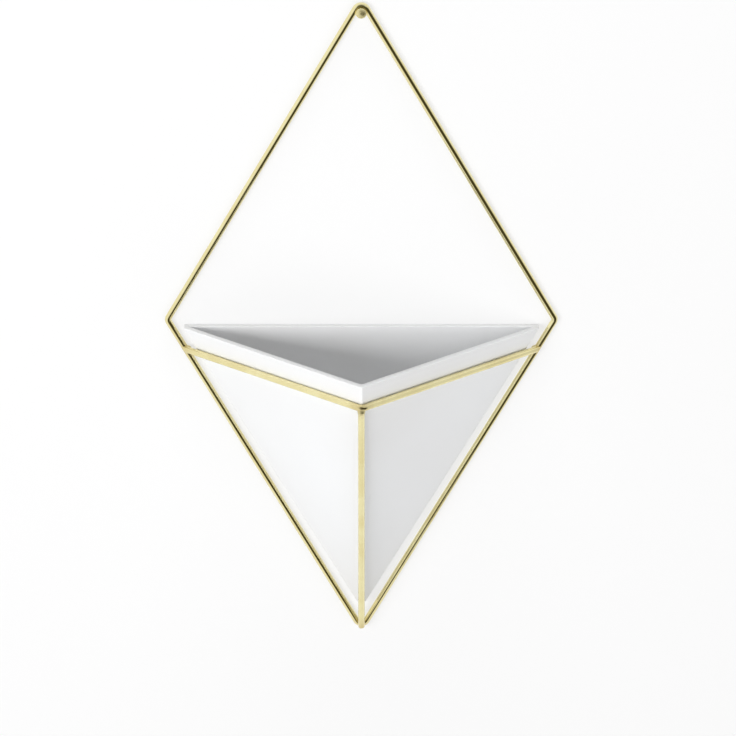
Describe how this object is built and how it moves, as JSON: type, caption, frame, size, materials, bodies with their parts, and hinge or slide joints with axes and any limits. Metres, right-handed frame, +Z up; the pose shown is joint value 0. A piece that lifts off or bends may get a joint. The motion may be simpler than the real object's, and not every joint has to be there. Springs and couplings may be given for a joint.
{
  "type": "hanging wall vase",
  "caption": "Wall vase: a tall diamond of bent wire hangs on a wall pin, and its V-shaped front rail and spine cradle a lift-out vessel, half of an upturned pyramid.",
  "frame": {"origin": "on the wall pin's axis, where the pin enters the wall's surface", "axes": "+X to the right of someone facing the wall, +Y into the wall along the pin, +Z up"},
  "size_m": [0.238, 0.129, 0.4046],
  "materials": {
    "wire": "polished pale brass plating on round wire",
    "weld": "plated over a smooth weld bead, slightly duller than the wire",
    "vessel": "satin white moulded resin",
    "pin": "polished turned pin"
  },
  "bodies": {
    "wall_fixing": {"wall_pin": "pin"},
    "wire_frame": {"diamond_frame": "wire", "front_rail": "wire", "spine_rod": "wire", "rail_weld_left": "weld", "rail_weld_right": "weld", "corner_weld": "weld", "bottom_weld": "weld"},
    "vessel": {"vessel": "vessel"}
  },
  "joints": [
    {"name": "frame_swing", "type": "hinge", "parent": "wall_fixing", "child": "wire_frame", "pos_m": [0, 0, 0], "axis": [0, 1, 0], "range_deg": [-59, 59]},
    {"name": "vessel_lift", "type": "slide", "parent": "wire_frame", "child": "vessel", "axis": [0, -0.4654, 0.8851], "range_m": [0, 0.2]}
  ]
}
